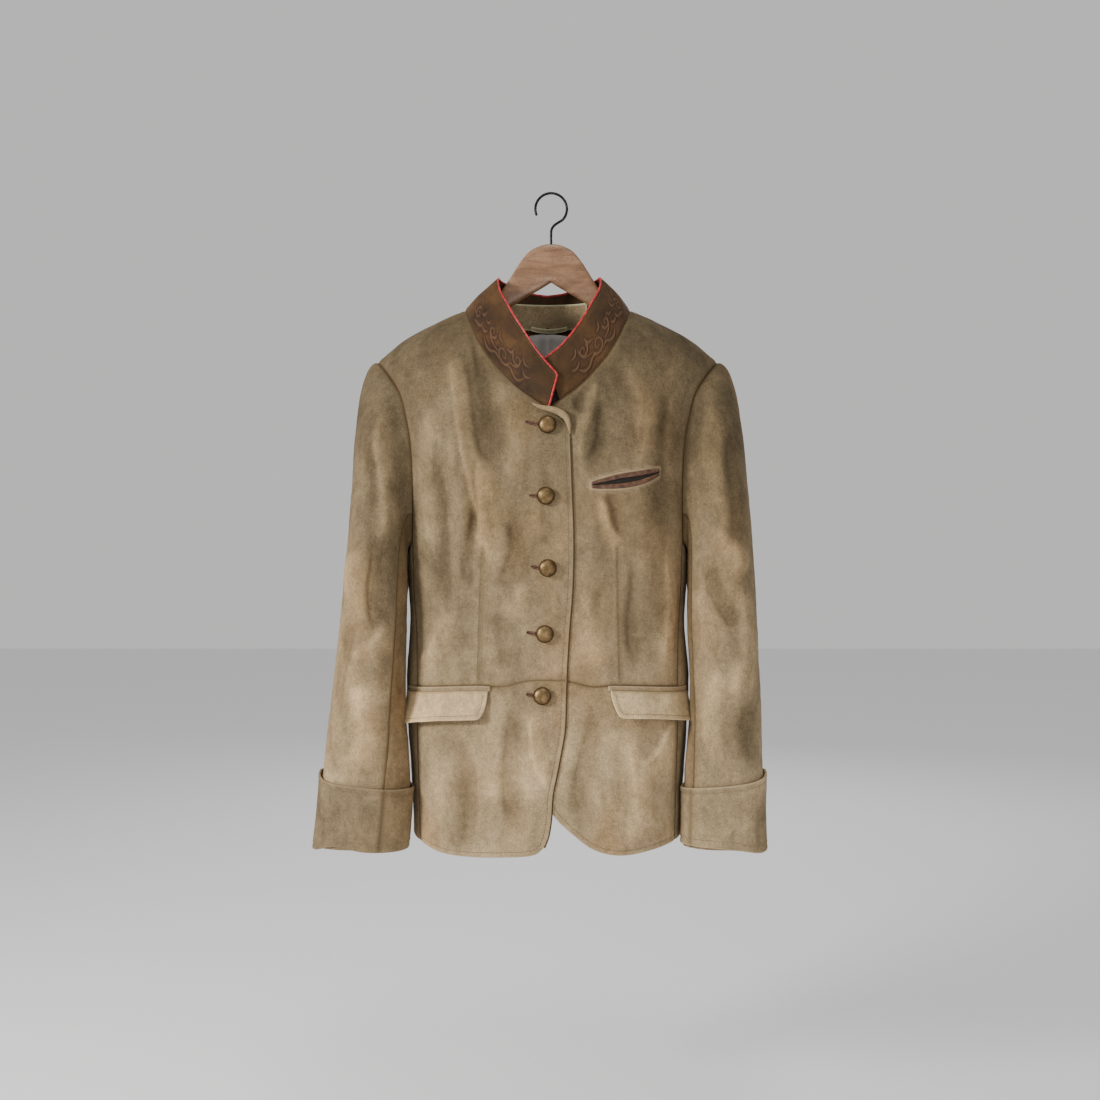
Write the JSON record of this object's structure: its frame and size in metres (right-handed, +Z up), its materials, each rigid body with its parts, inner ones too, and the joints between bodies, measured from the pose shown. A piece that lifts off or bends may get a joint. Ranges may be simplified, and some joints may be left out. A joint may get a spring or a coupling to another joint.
{
  "type": "leather jacket on a hanger",
  "caption": "Short suede jacket with a stand collar, red piping, domed metal buttons, flap pockets and turn-back cuffs, hanging on a wooden hanger with a wire hook.",
  "frame": {"origin": "the inner top of the hanger's hook, where a rail or a peg holds the whole", "axes": "+Z up, +X towards the wearer's left, the front faces -Y"},
  "size_m": [0.5221, 0.1705, 0.7743],
  "materials": {
    "suede": "napped beige suede",
    "collar": "dark brown nubuck",
    "piping": "matte red leather cord",
    "lining": "grey satin",
    "pocket_jet": "dark brown leather",
    "button": "aged, satin",
    "hanger": "satin lacquered beech",
    "hook": "black, satin"
  },
  "bodies": {
    "root": {"hook": "hook", "hanger_wood": "hanger", "front_right_upper": "suede", "front_left_upper": "suede", "front_right_skirt": "suede", "front_left_skirt": "suede", "side_right": "suede", "side_left": "suede", "back_right": "suede", "back_left": "suede", "top_sleeve_right": "suede", "top_sleeve_left": "suede", "under_sleeve_right": "suede", "under_sleeve_left": "suede", "cuff_right": "suede", "cuff_left": "suede", "flap_right": "suede", "flap_left": "suede", "flap_welt_right": "suede", "flap_welt_left": "suede", "collar": "collar", "collar_piping": "piping", "back_neck_facing": "suede", "hanging_loop": "suede", "back_lining": "lining", "pocket_jet_upper": "pocket_jet", "pocket_jet_lower": "pocket_jet", "button_1": "button", "button_2": "button", "button_3": "button", "button_4": "button", "button_5": "button"}
  },
  "joints": []
}
